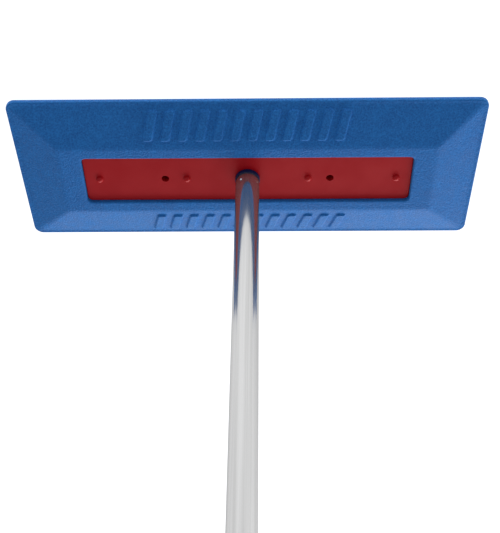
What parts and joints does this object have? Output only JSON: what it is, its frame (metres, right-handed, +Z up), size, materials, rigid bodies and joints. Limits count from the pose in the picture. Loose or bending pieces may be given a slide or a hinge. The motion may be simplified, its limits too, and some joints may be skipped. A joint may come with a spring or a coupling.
{
  "type": "foam head snow rake",
  "caption": "Push-type snow rake: wide foam head with a raised back and a recessed plate, on a telescoping tube pole with a twist lock, foam grip and hanging cap.",
  "frame": {"origin": "centre of the head's flat working face, which the rake stands on", "axes": "+X along the head's length, +Y across the head, +Z up the pole from the head to the end cap"},
  "size_m": [0.432, 0.1606, 1.168],
  "materials": {
    "foam_blue": "matte",
    "foam_black": "matte",
    "plastic_red": "satin",
    "plastic_navy": "satin",
    "plastic_black": "satin",
    "plastic_blue": "satin",
    "plastic_natural": "satin",
    "bright_tube": "polished",
    "spring_steel": "satin",
    "rivet_metal": "satin",
    "rubber_black": "matte"
  },
  "bodies": {
    "head_and_upper_tube": {"foam_head": "foam_blue", "back_plate": "plastic_red", "core_plate": "plastic_natural", "plate_rivets": "plastic_red", "threaded_tip": "plastic_navy", "upper_tube": "bright_tube", "guide_sleeve": "plastic_natural", "end_plug": "plastic_black"},
    "collet": {"lock_collet": "plastic_natural"},
    "lower_pole": {"lower_tube": "bright_tube", "lock_body": "plastic_black", "lock_rivets": "rivet_metal", "retaining_ring": "spring_steel", "hand_grip": "foam_black", "end_cap": "plastic_black", "cap_rivet": "rivet_metal"},
    "collar": {"lock_collar": "plastic_blue", "wiper_ring": "rubber_black"}
  },
  "joints": [
    {"name": "pole_extend", "type": "slide", "parent": "head_and_upper_tube", "child": "collet", "axis": [0, 0, 1], "range_m": [-0.482, 0]},
    {"name": "pole_swivel", "type": "hinge", "parent": "collet", "child": "lower_pole", "pos_m": [0, 0, 0.568], "axis": [0, 0, 1], "continuous": true},
    {"name": "lock_twist", "type": "hinge", "parent": "lower_pole", "child": "collar", "pos_m": [0, 0, 0.545], "axis": [0, 0, 1], "range_deg": [0, 90]}
  ]
}
